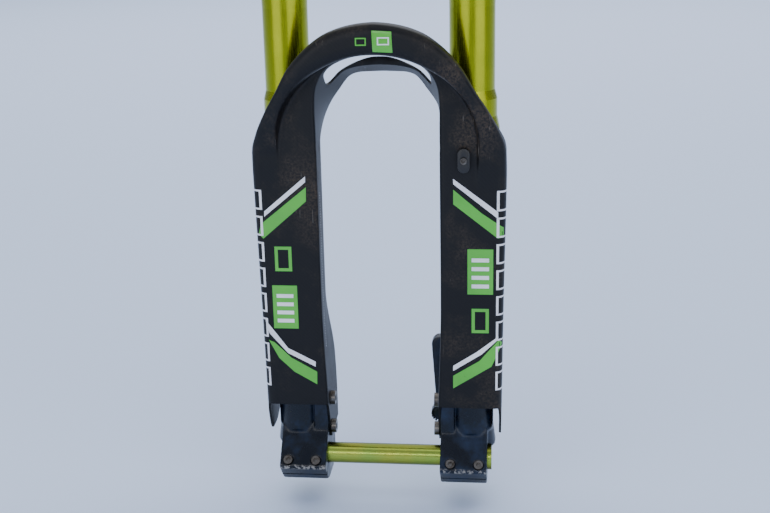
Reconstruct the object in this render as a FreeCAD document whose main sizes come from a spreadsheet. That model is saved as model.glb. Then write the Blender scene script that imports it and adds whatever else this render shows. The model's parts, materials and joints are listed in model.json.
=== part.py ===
"""Upside-down double-crown mountain-bike suspension fork, 203 mm of travel, built piece by piece.

The origin is the centre of the crown race seat, on the steerer axis. +Z is up the steerer,
-Y is the front of the bike and +X is the rider's left, the brake side. Lengths are millimetres.
"""
import FreeCAD, Part
import Sketcher
import math
import os

doc = FreeCAD.newDocument("fork")
sheet = doc.addObject("Spreadsheet::Sheet", "Dims")
nodes = []
LEFT = (1, 0, 0)
PLANES = {"XY": "XY_Plane", "XZ": "XZ_Plane", "YZ": "YZ_Plane"}


# --- Sizes: each one carries its number and the sheet expression that gives it ---------------
class Size:
    def __init__(self, value, text):
        self.value = float(value)
        self.text = text

    def __add__(self, other):
        other = size(other)
        return Size(self.value + other.value, f"({self.text} + {other.text})")

    def __sub__(self, other):
        other = size(other)
        return Size(self.value - other.value, f"({self.text} - {other.text})")

    def __mul__(self, other):
        other = size(other)
        return Size(self.value * other.value, f"({self.text} * {other.text})")

    def __truediv__(self, other):
        other = size(other)
        return Size(self.value / other.value, f"({self.text} / {other.text})")

    def __neg__(self):
        return Size(-self.value, f"(0 - {self.text})")

    __radd__ = __add__
    __rmul__ = __mul__

    def __rsub__(self, other):
        return size(other) - self


def size(number):
    return number if isinstance(number, Size) else Size(number, f"{number:.6g}")


def cell(alias, value):
    """Put one driving dimension in the sheet and return it."""
    row = len(cell.rows) + 1
    cell.rows.append(alias)
    sheet.set(f"A{row}", alias)
    sheet.set(f"B{row}", str(value))
    sheet.setAlias(f"B{row}", alias)
    return Size(value, f"Dims.{alias}")


cell.rows = []

# Stance
axle_to_crown = cell("axle_to_crown", 610)      # crown race seat down to the axle
leg_x = cell("leg_spacing_half", 84.5)
leg_y = -cell("crown_offset", 27)               # legs ahead of the steerer
axle_y = leg_y - cell("axle_lead", 23)          # axle ahead of the legs
travel = cell("wheel_travel", 203)
hub_x = cell("hub_width_half", 55)              # 110 mm hub
gap = cell("running_gap", 0.05)                 # radial clearance of everything that slides
wall = cell("guard_wall", 2.2)                  # carbon shell


def above_axle(alias, value):
    """A height, kept in the sheet as millimetres above the axle."""
    return cell(alias, value) - axle_to_crown


# Upper tubes
tube_bottom = above_axle("tube_bottom_up", 276)
seal_head_top = above_axle("seal_head_top_up", 319)
shoulder_low = above_axle("shoulder_low_up", 330)
shoulder_mid = above_axle("shoulder_mid_up", 346)
slim_low = above_axle("slim_low_up", 354)
slim_high = above_axle("slim_high_up", 428)
taper_high = above_axle("taper_high_up", 520)
tube_top = cell("tube_top", 170)
seal_head_r = cell("seal_head_radius", 25)
shoulder_r = cell("shoulder_radius", 22.6)
slim_r = cell("slim_radius", 20.5)
clamp_r = cell("clamp_radius", 23)              # tube radius in the crowns
bore_r = cell("tube_bore_radius", 18.85)
seal_pocket_r = cell("seal_pocket_radius", 22.5)
lip = cell("tube_lip", 1.2)

# Stanchions
stanchion_r = cell("stanchion_radius", 18)
stanchion_in_r = cell("stanchion_inner_radius", 16)
stanchion_bottom = above_axle("stanchion_bottom_up", 16)
stanchion_top = above_axle("stanchion_top_up", 455)
lower_bush = above_axle("lower_bush_up", 304)
upper_bush = above_axle("upper_bush_up", 418)
bush_length = cell("bush_length", 18)

# Crowns and steerer
steerer_r = cell("steerer_radius", 14.3)
race_r = cell("race_seat_radius", 15)
race_up = cell("race_seat_height", 8)
steerer_in_r = cell("steerer_inner_radius", 11.9)
steerer_base_r = cell("steerer_base_radius", 16)  # pressed into the lower crown
steerer_top = cell("steerer_top", 184)
crown_clamp_r = cell("crown_clamp_radius", 28.6)
crown_hub_r = cell("crown_hub_radius", 25)
lower_crown_drop = cell("lower_crown_drop", 22)
clamp_drop = cell("clamp_drop", 34)
upper_crown_low = cell("upper_crown_low", 134)
upper_crown_high = cell("upper_crown_high", 160)
arm_front = cell("crown_arm_front", 20)
arm_rear = cell("crown_arm_rear", 17)
ear_half = cell("ear_half_width", 11)
ear_out = cell("ear_reach", 12)
slot_half = cell("clamp_slot_half", 1)
stem_x = cell("stem_bolt_x", 24)
stem_y = cell("stem_bolt_y", 22)
stem_back = cell("stem_bolt_back", 20)          # stem holes ahead of the steerer
stem_hole_r = cell("stem_hole_radius", 3)
plate_x = cell("stem_plate_half", 33)
plate_front = cell("stem_plate_front", 51)

# Guards and arch, one carbon piece
guard_front = leg_y - cell("guard_reach", 30)
guard_rear = leg_y + cell("guard_behind", 30)
guard_out_x = cell("guard_outer_x", 115)
guard_in_x = cell("guard_inner_x", 56.5)
guard_foot_x = hub_x - wall
panel_foot = above_axle("panel_foot_up", 53)
inner_tail = above_axle("inner_tail_up", 12)
outer_tail = above_axle("outer_tail_up", 21)
pinch_low = above_axle("waist_low_up", 80)
pinch_high = above_axle("waist_high_up", 140)
shoulder_z = above_axle("guard_shoulder_up", 300)
bow_top_z = above_axle("bow_top_up", 418)
bow_under_z = above_axle("bow_under_up", 390)
bow_r = cell("bow_outer_radius", 93)
crease_r = cell("bow_inner_radius", 90)
bow_end_x = cell("bow_arc_end_x", 87.4)
bow_end_z = above_axle("bow_arc_end_up", 356.8)
bow_foot_x = cell("bow_foot_x", 111)
bow_chin_z = above_axle("bow_chin_up", 374)
bow_front = axle_y - cell("bow_front_lead", 34)
panel_top = above_axle("panel_top_up", 362)
roof_rear_z = above_axle("roof_rear_up", 366)
slot_x = cell("arch_slot_half", 47)
slot_rear = axle_y + cell("arch_slot_behind", 27)

# Dropouts
block_out_x = cell("block_outer_x", 100)
socket_r = cell("socket_radius", 20.75)
socket_low = above_axle("socket_low_up", 14)     # clear of the axle's head
socket_top = above_axle("socket_top_up", 60)
lug_x = cell("lug_outer_x", 68)
axle_r = cell("axle_radius", 10)
axle_gap = cell("axle_gap", 0.03)
recess_r = cell("foot_recess_radius", 9)
recess_top = above_axle("foot_recess_up", -8)
slot_width = cell("pinch_slot", 1.6)
pinch_r = cell("pinch_bolt_radius", 2.5)
pinch_reach = cell("pinch_bolt_reach", 16.4)    # axle centre to the clamp's upper face
pinch_off = cell("pinch_bolt_offset", 13.4)     # bolt axis to the axle centre
pinch_x = (cell("pinch_inner_x", 65), cell("pinch_outer_x", 92))
guard_bolt_z = (above_axle("guard_bolt_low_up", 23), above_axle("guard_bolt_high_up", 53))
guard_bolt_y = axle_y + cell("guard_bolt_behind", 12)
guard_bolt_r = cell("guard_bolt_radius", 3)
post_x = cell("post_x", 51)
post_low = above_axle("post_low_up", 19.7)
post_span = cell("post_span", 74)
post_r = cell("post_radius", 8)
post_hole_r = cell("post_hole_radius", 3)
post_front = axle_y + cell("post_front_behind", 54.5)
post_rear = axle_y + cell("post_rear_behind", 68)

# Inside the legs
rod_r = cell("rod_radius", 5)
cartridge_r = cell("cartridge_radius", 13.5)
cartridge_in_r = cell("cartridge_inner_radius", 11.8)
cartridge_low = above_axle("cartridge_low_up", 470)
piston_z = above_axle("piston_up", 496)
piston_length = cell("piston_length", 14)
coil_r = cell("coil_radius", 9.2)
coil_wire_r = cell("coil_wire_radius", 1.4)
coil_length = cell("coil_length", 34)
coil_turns = cell("coil_turns", 5)
head_length = cell("seal_head_length", 16)
air_piston_z = above_axle("air_piston_up", 530)


# --- Ways of making a piece ------------------------------------------------------------------
def add(kind, name):
    return doc.addObject(kind, name)


def bind(thing, prop, value):
    thing.setExpression(prop, size(value).text)


def keep(thing, label):
    """Make the object a sub-part: its label is its file's name."""
    thing.Label = label
    nodes.append(thing)
    return thing


def place(thing, x=0, y=0, z=0, turn=None):
    if turn is not None:
        thing.Placement.Rotation = turn
    for axis, value in (("x", x), ("y", y), ("z", z)):
        bind(thing, f"Placement.Base.{axis}", value)
    return thing


def new_body(label):
    return keep(add("PartDesign::Body", label + "_body"), label)


def new_sketch(body, plane, start=0):
    """A sketch on one of the body's own origin planes, start away from it along its normal."""
    sketch = body.newObject("Sketcher::SketchObject", "sketch")
    role = PLANES[plane]
    face = [f for f in body.Origin.OriginFeatures if f.Role == role][0]
    sketch.AttachmentSupport = [(face, "")]
    sketch.MapMode = "FlatFace"
    bind(sketch, "AttachmentOffset.Base.z", start)
    return sketch


def pin_point(sketch, edge, end, x, y):
    """Tie one end of an edge to its place, measured from the sketch's origin."""
    for kind, value in (("DistanceX", x), ("DistanceY", y)):
        value = size(value)
        index = sketch.addConstraint(Sketcher.Constraint(kind, -1, 1, edge, end, value.value))
        sketch.setExpression(f"Constraints[{index}]", value.text)


def outline(sketch, corners):
    """A closed outline. A corner is (x, y), or (x, y, radius, side) where an arc starts there."""
    corners = [tuple(size(v) if i < 3 else v for i, v in enumerate(c)) for c in corners]
    count = len(corners)
    edges = []
    for i, corner in enumerate(corners):
        after = corners[(i + 1) % count]
        p = FreeCAD.Vector(corner[0].value, corner[1].value, 0)
        q = FreeCAD.Vector(after[0].value, after[1].value, 0)
        if len(corner) == 2:
            edges.append((sketch.addGeometry(Part.LineSegment(p, q), False), 1, 2, corner, after))
            continue
        radius, side = corner[2].value, corner[3]       # side 1 bulges left of the way along
        chord = q - p
        rise = radius - math.sqrt(radius ** 2 - (chord.Length / 2) ** 2)
        across = FreeCAD.Vector(-chord.y, chord.x, 0).normalize() * side
        middle = (p + q) * 0.5 + across * rise
        ends, (first, last) = ((q, p), (2, 1)) if side > 0 else ((p, q), (1, 2))
        edge = sketch.addGeometry(Part.Arc(ends[0], middle, ends[1]), False)
        edges.append((edge, first, last, corner, after))
    for i, (edge, first, last, corner, after) in enumerate(edges):
        following = edges[(i + 1) % count]
        sketch.addConstraint(Sketcher.Constraint("Coincident", edge, last, following[0], following[1]))
        pin_point(sketch, edge, first, corner[0], corner[1])
        if len(corner) > 2:
            index = sketch.addConstraint(Sketcher.Constraint("Radius", edge, corner[2].value))
            sketch.setExpression(f"Constraints[{index}]", corner[2].text)


def disc(sketch, x, y, radius):
    x, y, radius = size(x), size(y), size(radius)
    circle = Part.Circle(FreeCAD.Vector(x.value, y.value, 0), FreeCAD.Vector(0, 0, 1), radius.value)
    edge = sketch.addGeometry(circle, False)
    pin_point(sketch, edge, 3, x, y)
    index = sketch.addConstraint(Sketcher.Constraint("Radius", edge, radius.value))
    sketch.setExpression(f"Constraints[{index}]", radius.text)


def pad(body, sketch, length):
    feature = body.newObject("PartDesign::Pad", "pad")
    feature.Profile = sketch
    bind(feature, "Length", length)
    return feature


def pocket(body, sketch, length):
    """Cut from the sketch along its own normal."""
    before = (doc.recompute(), body.Shape.Volume)[1]
    feature = body.newObject("PartDesign::Pocket", "pocket")
    feature.Profile = sketch
    feature.Reversed = True
    bind(feature, "Length", length)
    doc.recompute()
    if not body.Shape.Volume < before:
        raise SystemExit(f"{body.Label}: a pocket cuts nothing")
    return feature


def pad_outline(body, plane, start, length, corners):
    sketch = new_sketch(body, plane, start)
    outline(sketch, corners)
    return pad(body, sketch, length)


def cut_outline(body, plane, start, length, corners):
    sketch = new_sketch(body, plane, start)
    outline(sketch, corners)
    return pocket(body, sketch, length)


def pad_disc(body, plane, start, length, x, y, radius):
    sketch = new_sketch(body, plane, start)
    disc(sketch, x, y, radius)
    return pad(body, sketch, length)


def cut_disc(body, plane, start, length, x, y, radius):
    sketch = new_sketch(body, plane, start)
    disc(sketch, x, y, radius)
    return pocket(body, sketch, length)


def turned(label, x, y, corners):
    """A piece turned about a vertical axis at x, y, from (radius, height) corners."""
    body = new_body(label)
    sketch = new_sketch(body, "XZ")
    outline(sketch, corners)
    feature = body.newObject("PartDesign::Revolution", "turn")
    feature.Profile = sketch
    feature.ReferenceAxis = (sketch, ["V_Axis"])
    place(body, x, y, 0)
    return body


def ring(label, x, y, inner, outer, low, height):
    return turned(label, x, y, [(inner, low), (outer, low), (outer, low + height),
                                (inner, low + height)])


def cap_screw(name, x, y, z, towards, head_r, head_up, shank_r, shank_down):
    """A socket-head screw: the underside of its head is at x, y, z and it points towards."""
    turn = FreeCAD.Rotation(FreeCAD.Vector(0, 0, -1), FreeCAD.Vector(*towards))
    head = add("Part::Cylinder", name + "_head")
    bind(head, "Radius", head_r)
    bind(head, "Height", head_up)
    shank = add("Part::Cylinder", name + "_shank")
    bind(shank, "Radius", shank_r)
    bind(shank, "Height", shank_down)
    bind(shank, "Placement.Base.z", -size(shank_down))
    whole = add("Part::Fuse", name + "_blank")
    whole.Base, whole.Tool = head, shank
    socket = add("Part::Prism", name + "_socket")
    socket.Polygon = 6
    bind(socket, "Circumradius", size(head_r) * socket_share)
    bind(socket, "Height", head_up)
    bind(socket, "Placement.Base.z", size(head_up) / 3)
    screw = add("Part::Cut", name)
    screw.Base, screw.Tool = whole, socket
    return place(screw, x, y, z, turn)


def group(label, pieces):
    """Identical fasteners: separate solids in one node."""
    bundle = add("Part::Compound", label + "_set")
    bundle.Links = pieces
    return keep(bundle, label)


socket_share = cell("screw_socket_share", 0.55)
SIDES = (("left", 1), ("right", -1))


# --- Steerer and crowns ----------------------------------------------------------------------
turned("steerer_tube", 0, 0, [
    (steerer_in_r, -lower_crown_drop), (steerer_base_r, -lower_crown_drop), (steerer_base_r, 0),
    (race_r, 0), (race_r, race_up), (steerer_r, race_up + 2), (steerer_r, steerer_top),
    (steerer_in_r, steerer_top)])


def crown(label, low, high, clamp_low, steerer_bore, front):
    """One crown: a clamp round each tube, an arm between them and a hub on the steerer."""
    body = new_body(label)
    arm = [(-leg_x, leg_y - arm_front), (-leg_x / 2, -front), (leg_x / 2, -front),
           (leg_x, leg_y - arm_front), (leg_x, leg_y + arm_rear), (leg_x / 2, crown_hub_r - 5),
           (-leg_x / 2, crown_hub_r - 5), (-leg_x, leg_y + arm_rear)]
    pad_outline(body, "XY", low, high - low, arm)
    pad_disc(body, "XY", low, high - low, 0, 0, crown_hub_r)
    for name, side in SIDES:
        pad_disc(body, "XY", clamp_low, high - clamp_low, leg_x * side, leg_y, crown_clamp_r)
        rear = leg_y + crown_clamp_r + ear_out
        pad_outline(body, "XY", clamp_low, high - clamp_low, [
            (leg_x * side - ear_half, leg_y), (leg_x * side + ear_half, leg_y),
            (leg_x * side + ear_half, rear), (leg_x * side - ear_half, rear)])
    for name, side in SIDES:
        cut_disc(body, "XY", clamp_low, high - clamp_low, leg_x * side, leg_y, clamp_r)
        cut_outline(body, "XY", clamp_low, high - clamp_low, [
            (leg_x * side - slot_half, leg_y), (leg_x * side + slot_half, leg_y),
            (leg_x * side + slot_half, rear + 1), (leg_x * side - slot_half, rear + 1)])
    cut_disc(body, "XY", low, high - low, 0, 0, steerer_bore)
    return body


crown_bolt_y = leg_y + crown_clamp_r + ear_out / 2 - 0.5
crown_bolt_r = cell("crown_bolt_radius", 3)
crown_head_r = cell("crown_bolt_head", 4.9)
crown_head_up = cell("crown_bolt_head_up", 5)


def crown_bolts(body, label, heights):
    """Holes across the ears for the clamp bolts, and the bolts."""
    bolts = []
    for name, side in SIDES:
        outer = leg_x * side + ear_half
        for i, z in enumerate(heights):
            cut_disc(body, "YZ", leg_x * side - ear_half, ear_half * 2, crown_bolt_y, z,
                     crown_bolt_r)
            bolts.append(cap_screw(f"{label}_{name}_{i}", outer, crown_bolt_y, z, (-1, 0, 0),
                                   crown_head_r, crown_head_up, crown_bolt_r, ear_half * 2))
    return bolts


lower = crown("lower_crown", -lower_crown_drop, size(0), -clamp_drop, steerer_base_r,
              crown_hub_r + 18)
lower_heights = (-clamp_drop + 9, size(-9))
group("lower_crown_bolts", crown_bolts(lower, "lower_crown_bolt", lower_heights))

upper = crown("upper_crown", upper_crown_low, upper_crown_high, upper_crown_low, steerer_r,
              crown_hub_r + 18)
stem_centre_y = -stem_back
pad_outline(upper, "XY", upper_crown_high - 14, 14, [
    (-plate_x, -plate_front), (plate_x, -plate_front), (plate_x, crown_hub_r - 5),
    (-plate_x, crown_hub_r - 5)])
cut_disc(upper, "XY", upper_crown_low, upper_crown_high - upper_crown_low, 0, 0, steerer_r)
for side_x in (-1, 1):
    for side_y in (-1, 1):
        cut_disc(upper, "XY", upper_crown_high - 14, 14, stem_x * side_x,
                 stem_centre_y + stem_y * side_y, stem_hole_r)
steerer_ear = cell("steerer_ear_reach", 36)
pad_outline(upper, "XY", upper_crown_low, upper_crown_high - upper_crown_low, [
    (-ear_half, steerer_r + 3), (ear_half, steerer_r + 3), (ear_half, steerer_ear),
    (-ear_half, steerer_ear)])
cut_outline(upper, "XY", upper_crown_low, upper_crown_high - upper_crown_low, [
    (-slot_half, steerer_r - 1), (slot_half, steerer_r - 1), (slot_half, steerer_ear + 1),
    (-slot_half, steerer_ear + 1)])
upper_mid = (upper_crown_low + upper_crown_high) / 2
group("upper_crown_bolts", crown_bolts(upper, "upper_crown_bolt", (upper_mid,)))
cut_disc(upper, "YZ", -ear_half, ear_half * 2, steerer_ear - 7, upper_mid, crown_bolt_r)
keep(cap_screw("steerer_bolt", ear_half, steerer_ear - 7, upper_mid, (-1, 0, 0), crown_head_r,
               crown_head_up, crown_bolt_r, ear_half * 2), "steerer_clamp_bolt")

# --- Upper tubes with their seals, bushings and stops ------------------------------------------
seal_depth = cell("seal_depth", 16)
wiper_lip = cell("wiper_lip_length", 6.5)
wiper_skirt = cell("wiper_skirt", 4)
clip_height = cell("clip_height", 1.5)
cap_depth = cell("top_cap_depth", 12)
cap_head = cell("top_cap_head", 7)
bumper_low = cell("bumper_low", 30)
bumper_height = cell("bumper_height", 38)

for name, side in SIDES:
    x = leg_x * side
    turned(f"outer_tube_{name}", x, leg_y, [
        (seal_pocket_r, tube_bottom), (seal_head_r - 1, tube_bottom),
        (seal_head_r, tube_bottom + 1), (seal_head_r, seal_head_top),
        (shoulder_r, shoulder_low), (shoulder_r, shoulder_mid), (slim_r, slim_low),
        (slim_r, slim_high), (clamp_r, taper_high), (clamp_r, tube_top), (bore_r, tube_top),
        (bore_r, tube_bottom + seal_depth), (seal_pocket_r, tube_bottom + seal_depth)])
    wiper_low = tube_bottom - wiper_lip
    turned(f"wiper_seal_{name}", x, leg_y, [
        (stanchion_r + gap, wiper_low), (stanchion_r + 1.5, wiper_low),
        (seal_head_r - 2.5, tube_bottom - 4), (seal_head_r - 0.6, tube_bottom - 3),
        (seal_head_r - 0.6, tube_bottom), (seal_pocket_r, tube_bottom),
        (seal_pocket_r, tube_bottom + wiper_skirt), (stanchion_r + 2, tube_bottom + wiper_skirt),
        (stanchion_r + 2, tube_bottom - 1), (stanchion_r + gap, tube_bottom - 2.5)])
    clip_low = tube_bottom + wiper_skirt
    ring(f"seal_clip_{name}", x, leg_y, seal_pocket_r - 2.2, seal_pocket_r, clip_low, clip_height)
    seal_low = clip_low + clip_height
    turned(f"oil_seal_{name}", x, leg_y, [
        (stanchion_r + gap, seal_low + 1), (stanchion_r + 2, seal_low), (seal_pocket_r, seal_low),
        (seal_pocket_r, seal_low + 9), (stanchion_r + 2.4, seal_low + 9),
        (stanchion_r + gap, seal_low + 5)])
    for place_name, low in (("lower", lower_bush), ("upper", upper_bush)):
        ring(f"{place_name}_bushing_{name}", x, leg_y, stanchion_r + gap, bore_r, low, bush_length)
    turned(f"frame_bumper_{name}", x, leg_y, [
        (clamp_r, bumper_low), (clamp_r + 5, bumper_low), (clamp_r + 8, bumper_low + 8),
        (clamp_r + 8, bumper_low + bumper_height - 8), (clamp_r + 5, bumper_low + bumper_height),
        (clamp_r, bumper_low + bumper_height)])

# --- Top caps, with the compression knobs on the right and the air valve on the left -----------
knob_r = cell("outer_knob_radius", 13)
inner_knob_r = cell("inner_knob_radius", 7)
spigot_r = cell("knob_spigot_radius", 4)
cap_top = tube_top + cap_head
stem_r = cell("valve_stem_radius", 3.8)
right_x = -leg_x
left_x = leg_x

turned("damper_top_cap", right_x, leg_y, [
    (0, tube_top - cap_depth), (bore_r, tube_top - cap_depth), (bore_r, tube_top),
    (clamp_r - 1, tube_top), (clamp_r - 1, cap_top - 2), (clamp_r - 3, cap_top), (spigot_r, cap_top),
    (spigot_r, cap_top + 7.4), (2.5, cap_top + 7.4), (2.5, cap_top + 14), (0, cap_top + 14)])
turned("high_speed_knob", right_x, leg_y, [
    (spigot_r + gap, cap_top + 0.4), (knob_r, cap_top + 0.4), (knob_r, cap_top + 5.5),
    (knob_r - 1.5, cap_top + 7), (spigot_r + gap, cap_top + 7)])
turned("low_speed_knob", right_x, leg_y, [
    (2.5 + gap, cap_top + 7.9), (inner_knob_r, cap_top + 7.9), (inner_knob_r, cap_top + 13.5),
    (inner_knob_r - 1, cap_top + 15), (2.5 + gap, cap_top + 15)])
turned("spring_top_cap", left_x, leg_y, [
    (stem_r, tube_top - cap_depth), (bore_r, tube_top - cap_depth), (bore_r, tube_top),
    (clamp_r - 1, tube_top), (clamp_r - 1, cap_top - 2), (clamp_r - 3, cap_top),
    (stem_r, cap_top)])
turned("air_valve", left_x, leg_y, [
    (1, tube_top - cap_depth), (stem_r, tube_top - cap_depth), (stem_r, cap_top + 9),
    (1, cap_top + 9)])
turned("valve_cap", left_x, leg_y, [
    (stem_r, cap_top), (stem_r + 2.6, cap_top), (stem_r + 2.6, cap_top + 11),
    (stem_r + 1.6, cap_top + 12), (0, cap_top + 12), (0, cap_top + 9), (stem_r, cap_top + 9)])

# --- Damper in the right leg, air spring in the left -------------------------------------------
cartridge_top = tube_top - cap_depth
for label, head_label, x in (("damper_cartridge", "damper_seal_head", right_x),
                             ("air_cylinder", "air_seal_head", left_x)):
    ring(label, x, leg_y, cartridge_in_r, cartridge_r, cartridge_low, cartridge_top - cartridge_low)
    turned(head_label, x, leg_y, [
        (rod_r + gap, cartridge_low - 4), (cartridge_r, cartridge_low - 4),
        (cartridge_r, cartridge_low), (cartridge_in_r, cartridge_low),
        (cartridge_in_r, cartridge_low + head_length), (rod_r + gap, cartridge_low + head_length)])
rod_foot = above_axle("rod_foot_up", 22)
for label, x, low in (("damper_shaft", right_x, piston_z), ("spring_rod", left_x, air_piston_z)):
    ring(label, x, leg_y, size(2), rod_r, rod_foot, low + piston_length - rod_foot)
for label, x, low in (("damper_piston", right_x, piston_z), ("air_piston", left_x, air_piston_z)):
    turned(label, x, leg_y, [
        (rod_r, low), (cartridge_in_r - gap, low), (cartridge_in_r - gap, low + 5),
        (cartridge_in_r - 1, low + 5), (cartridge_in_r - 1, low + 8),
        (cartridge_in_r - gap, low + 8), (cartridge_in_r - gap, low + piston_length),
        (rod_r, low + piston_length)])

helix = add("Part::Helix", "coil_path")
bind(helix, "Pitch", coil_length / coil_turns)
bind(helix, "Height", coil_length)
bind(helix, "Radius", coil_r)
wire = add("Part::Circle", "coil_wire")
bind(wire, "Radius", coil_wire_r)
wire.Placement.Rotation = FreeCAD.Rotation(FreeCAD.Vector(1, 0, 0), 90)
bind(wire, "Placement.Base.x", coil_r)
coil = add("Part::Sweep", "coil")
coil.Sections = [wire]
coil.Spine = (helix, [])
coil.Solid = True
coil.Frenet = True
place(coil, left_x, leg_y, cartridge_low + head_length + coil_wire_r)
keep(coil, "negative_spring")

# --- Stanchions and dropouts -------------------------------------------------------------------
for name, side in SIDES:
    ring(f"stanchion_{name}", leg_x * side, leg_y, stanchion_in_r, stanchion_r, stanchion_bottom,
         stanchion_top - stanchion_bottom)

clamp_turn = cell("clamp_turn", 41.4)            # degrees the clamp's upper face leans back
lean = math.radians(clamp_turn.value)
BOLT_WAY = (0, math.cos(lean), -math.sin(lean))  # into the clamp, square to its upper face
fillet_r = cell("block_fillet", 3.2)


def ahead(alias, lead, up):
    """A corner of the dropout seen from the side: how far ahead of and above the axle it is."""
    return (axle_y - cell(f"{alias}_lead", lead), above_axle(f"{alias}_up", up))


block_side = [ahead("block_nose", 26, -5), ahead("block_chin", 8, -25), ahead("block_base", 0, -27.5),
              ahead("block_heel", -28, -27), ahead("block_back", -43.5, -12),
              ahead("block_rear_top", -43.5, 30), ahead("block_neck", -3, 30),
              ahead("block_brow", 4, 20)]
lug_low = above_axle("lug_low_up", 30)
slot_end = cell("pinch_slot_reach", 34)


def long_edges(shape, direction):
    """Names of the straight edges that run along a direction."""
    names = []
    for i, edge in enumerate(shape.Edges, 1):
        if edge.Curve.TypeId != "Part::GeomLine":
            continue
        if abs(edge.Curve.Direction.dot(FreeCAD.Vector(*direction))) > 0.999:
            names.append(f"Edge{i}")
    return names


def cross_cylinder(body, centre, direction, start, radius, length):
    """Cut a round hole in any direction, with a datum-free sketch turned to face it."""
    sketch = body.newObject("Sketcher::SketchObject", "sketch")
    turn = FreeCAD.Rotation(FreeCAD.Vector(0, 0, 1), FreeCAD.Vector(*direction))
    sketch.Placement.Rotation = turn
    for axis, value, way in zip("xyz", centre, direction):
        bind(sketch, f"Placement.Base.{axis}", size(value) + size(start) * way)
    disc(sketch, 0, 0, radius)
    return pocket(body, sketch, length)


def dropout(name, side):
    body = new_body(f"dropout_{name}")
    low_x = hub_x if side > 0 else -block_out_x
    block = pad_outline(body, "YZ", low_x, block_out_x - hub_x, block_side)
    doc.recompute()
    edges = long_edges(block.Shape, LEFT)
    soften = body.newObject("PartDesign::Fillet", "soften")
    soften.Base = (block, edges)
    bind(soften, "Radius", fillet_r)
    pad_disc(body, "XY", socket_low, socket_top - socket_low, leg_x * side, leg_y, socket_r)
    inner = guard_foot_x + wall
    lug_from = inner if side > 0 else -lug_x
    pad_outline(body, "YZ", lug_from, lug_x - inner, [
        (axle_y - 1, lug_low - 20), (guard_rear - 8, lug_low - 20), (guard_rear - 8, socket_top),
        (axle_y - 1, socket_top)])
    if side > 0:
        brake_posts(body)
    cut_disc(body, "XY", stanchion_bottom, socket_top - stanchion_bottom, leg_x * side, leg_y,
             stanchion_r)
    cut_disc(body, "XY", recess_top - 22, size(22), leg_x * side, leg_y, recess_r)
    cut_disc(body, "XY", recess_top, stanchion_bottom - recess_top, leg_x * side, leg_y, rod_r)
    cut_disc(body, "YZ", low_x, block_out_x - hub_x, axle_y, -axle_to_crown, axle_r + axle_gap)
    pinch(body, name, side, low_x)
    for z in guard_bolt_z:
        cut_disc(body, "YZ", lug_from, lug_x - inner, guard_bolt_y, z, guard_bolt_r)
    return body


def brake_posts(body):
    """Two rear-facing posts, the upper one on a fin-shaped arm."""
    inner_x, outer_x = post_x - post_r, post_x + post_r
    for z in (post_low, post_low + post_span):
        pad_disc(body, "XZ", -post_rear, post_rear - post_front, post_x, z, post_r)
    pad_outline(body, "XZ", -post_rear + 3, post_rear - post_front - 3, [
        (inner_x, post_low + post_span), (outer_x, post_low + post_span + 1),
        (outer_x + 8, post_low + 34), (outer_x + 12, post_low), (outer_x + 6, post_low - 10),
        (post_x, post_low - post_r + 1), (inner_x + 4, post_low + 14)])
    pad_outline(body, "XZ", -post_front - 4, size(20), [
        (hub_x + 3, post_low - 12), (outer_x + 12, post_low - 12), (outer_x + 12, socket_top - 2),
        (hub_x + 3, socket_top - 2)])
    for z in (post_low, post_low + post_span):
        cut_disc(body, "XZ", -post_rear, post_rear - post_front - 1, post_x, z, post_hole_r)


def pinch(body, name, side, low_x):
    """The slot that lets the clamp close, and its bolt holes."""
    across = (size(math.cos(lean)), size(math.sin(lean)))
    down = (math.sin(lean), -math.cos(lean))
    corners = []
    for reach, half in ((0, 1), (1, 1), (1, -1), (0, -1)):
        ahead_by = slot_end * (down[0] * reach) + slot_width / 2 * across[0] * half
        up_by = slot_end * (down[1] * reach) + slot_width / 2 * across[1] * half
        corners.append((axle_y - ahead_by, up_by - axle_to_crown))
    cut_outline(body, "YZ", low_x, block_out_x - hub_x, corners)
    for x in pinch_x:
        centre = pinch_seat(x * side)
        cross_cylinder(body, centre, BOLT_WAY, -3, pinch_head_r + 0.3, size(3) + pinch_sink)
        cross_cylinder(body, centre, BOLT_WAY, pinch_sink, pinch_r, pinch_depth)


def pinch_seat(x):
    """Where a pinch bolt's axis meets the clamp's upper face."""
    ahead_by = pinch_reach * math.cos(lean) + pinch_off * math.sin(lean)
    up_by = pinch_reach * math.sin(lean) - pinch_off * math.cos(lean)
    return (x, axle_y - ahead_by, up_by - axle_to_crown)


pinch_head_r = cell("pinch_head_radius", 4.3)
pinch_sink = cell("pinch_head_sink", 2.4)
pinch_depth = cell("pinch_bolt_depth", 27)
foot_head_r = cell("foot_bolt_head", 8)

for name, side in SIDES:
    dropout(name, side)
    bolts = []
    for i, x in enumerate(pinch_x):
        cx, cy, cz = pinch_seat(x * side)
        sunk = (cx, cy + pinch_sink * BOLT_WAY[1], cz + pinch_sink * BOLT_WAY[2])
        bolts.append(cap_screw(f"pinch_bolt_{name}_{i}", *sunk, BOLT_WAY, pinch_head_r, size(3.6),
                               pinch_r, pinch_depth))
    group(f"pinch_bolts_{name}", bolts)
    turned(f"foot_bolt_{name}", leg_x * side, leg_y, [
        (size(1.6), recess_top - 3), (foot_head_r, recess_top - 3), (foot_head_r, recess_top),
        (rod_r, recess_top), (rod_r, rod_foot), (size(1.6), rod_foot)])
    knob = "preload_knob" if side > 0 else "rebound_knob"
    turned(knob, leg_x * side, leg_y, [
        (size(0), recess_top - 20), (size(6.2), recess_top - 20), (size(7.6), recess_top - 18.5),
        (size(7.6), recess_top - 3.4), (size(1.5), recess_top - 3.4), (size(1.5), recess_top + 12),
        (size(0), recess_top + 12)])

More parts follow.
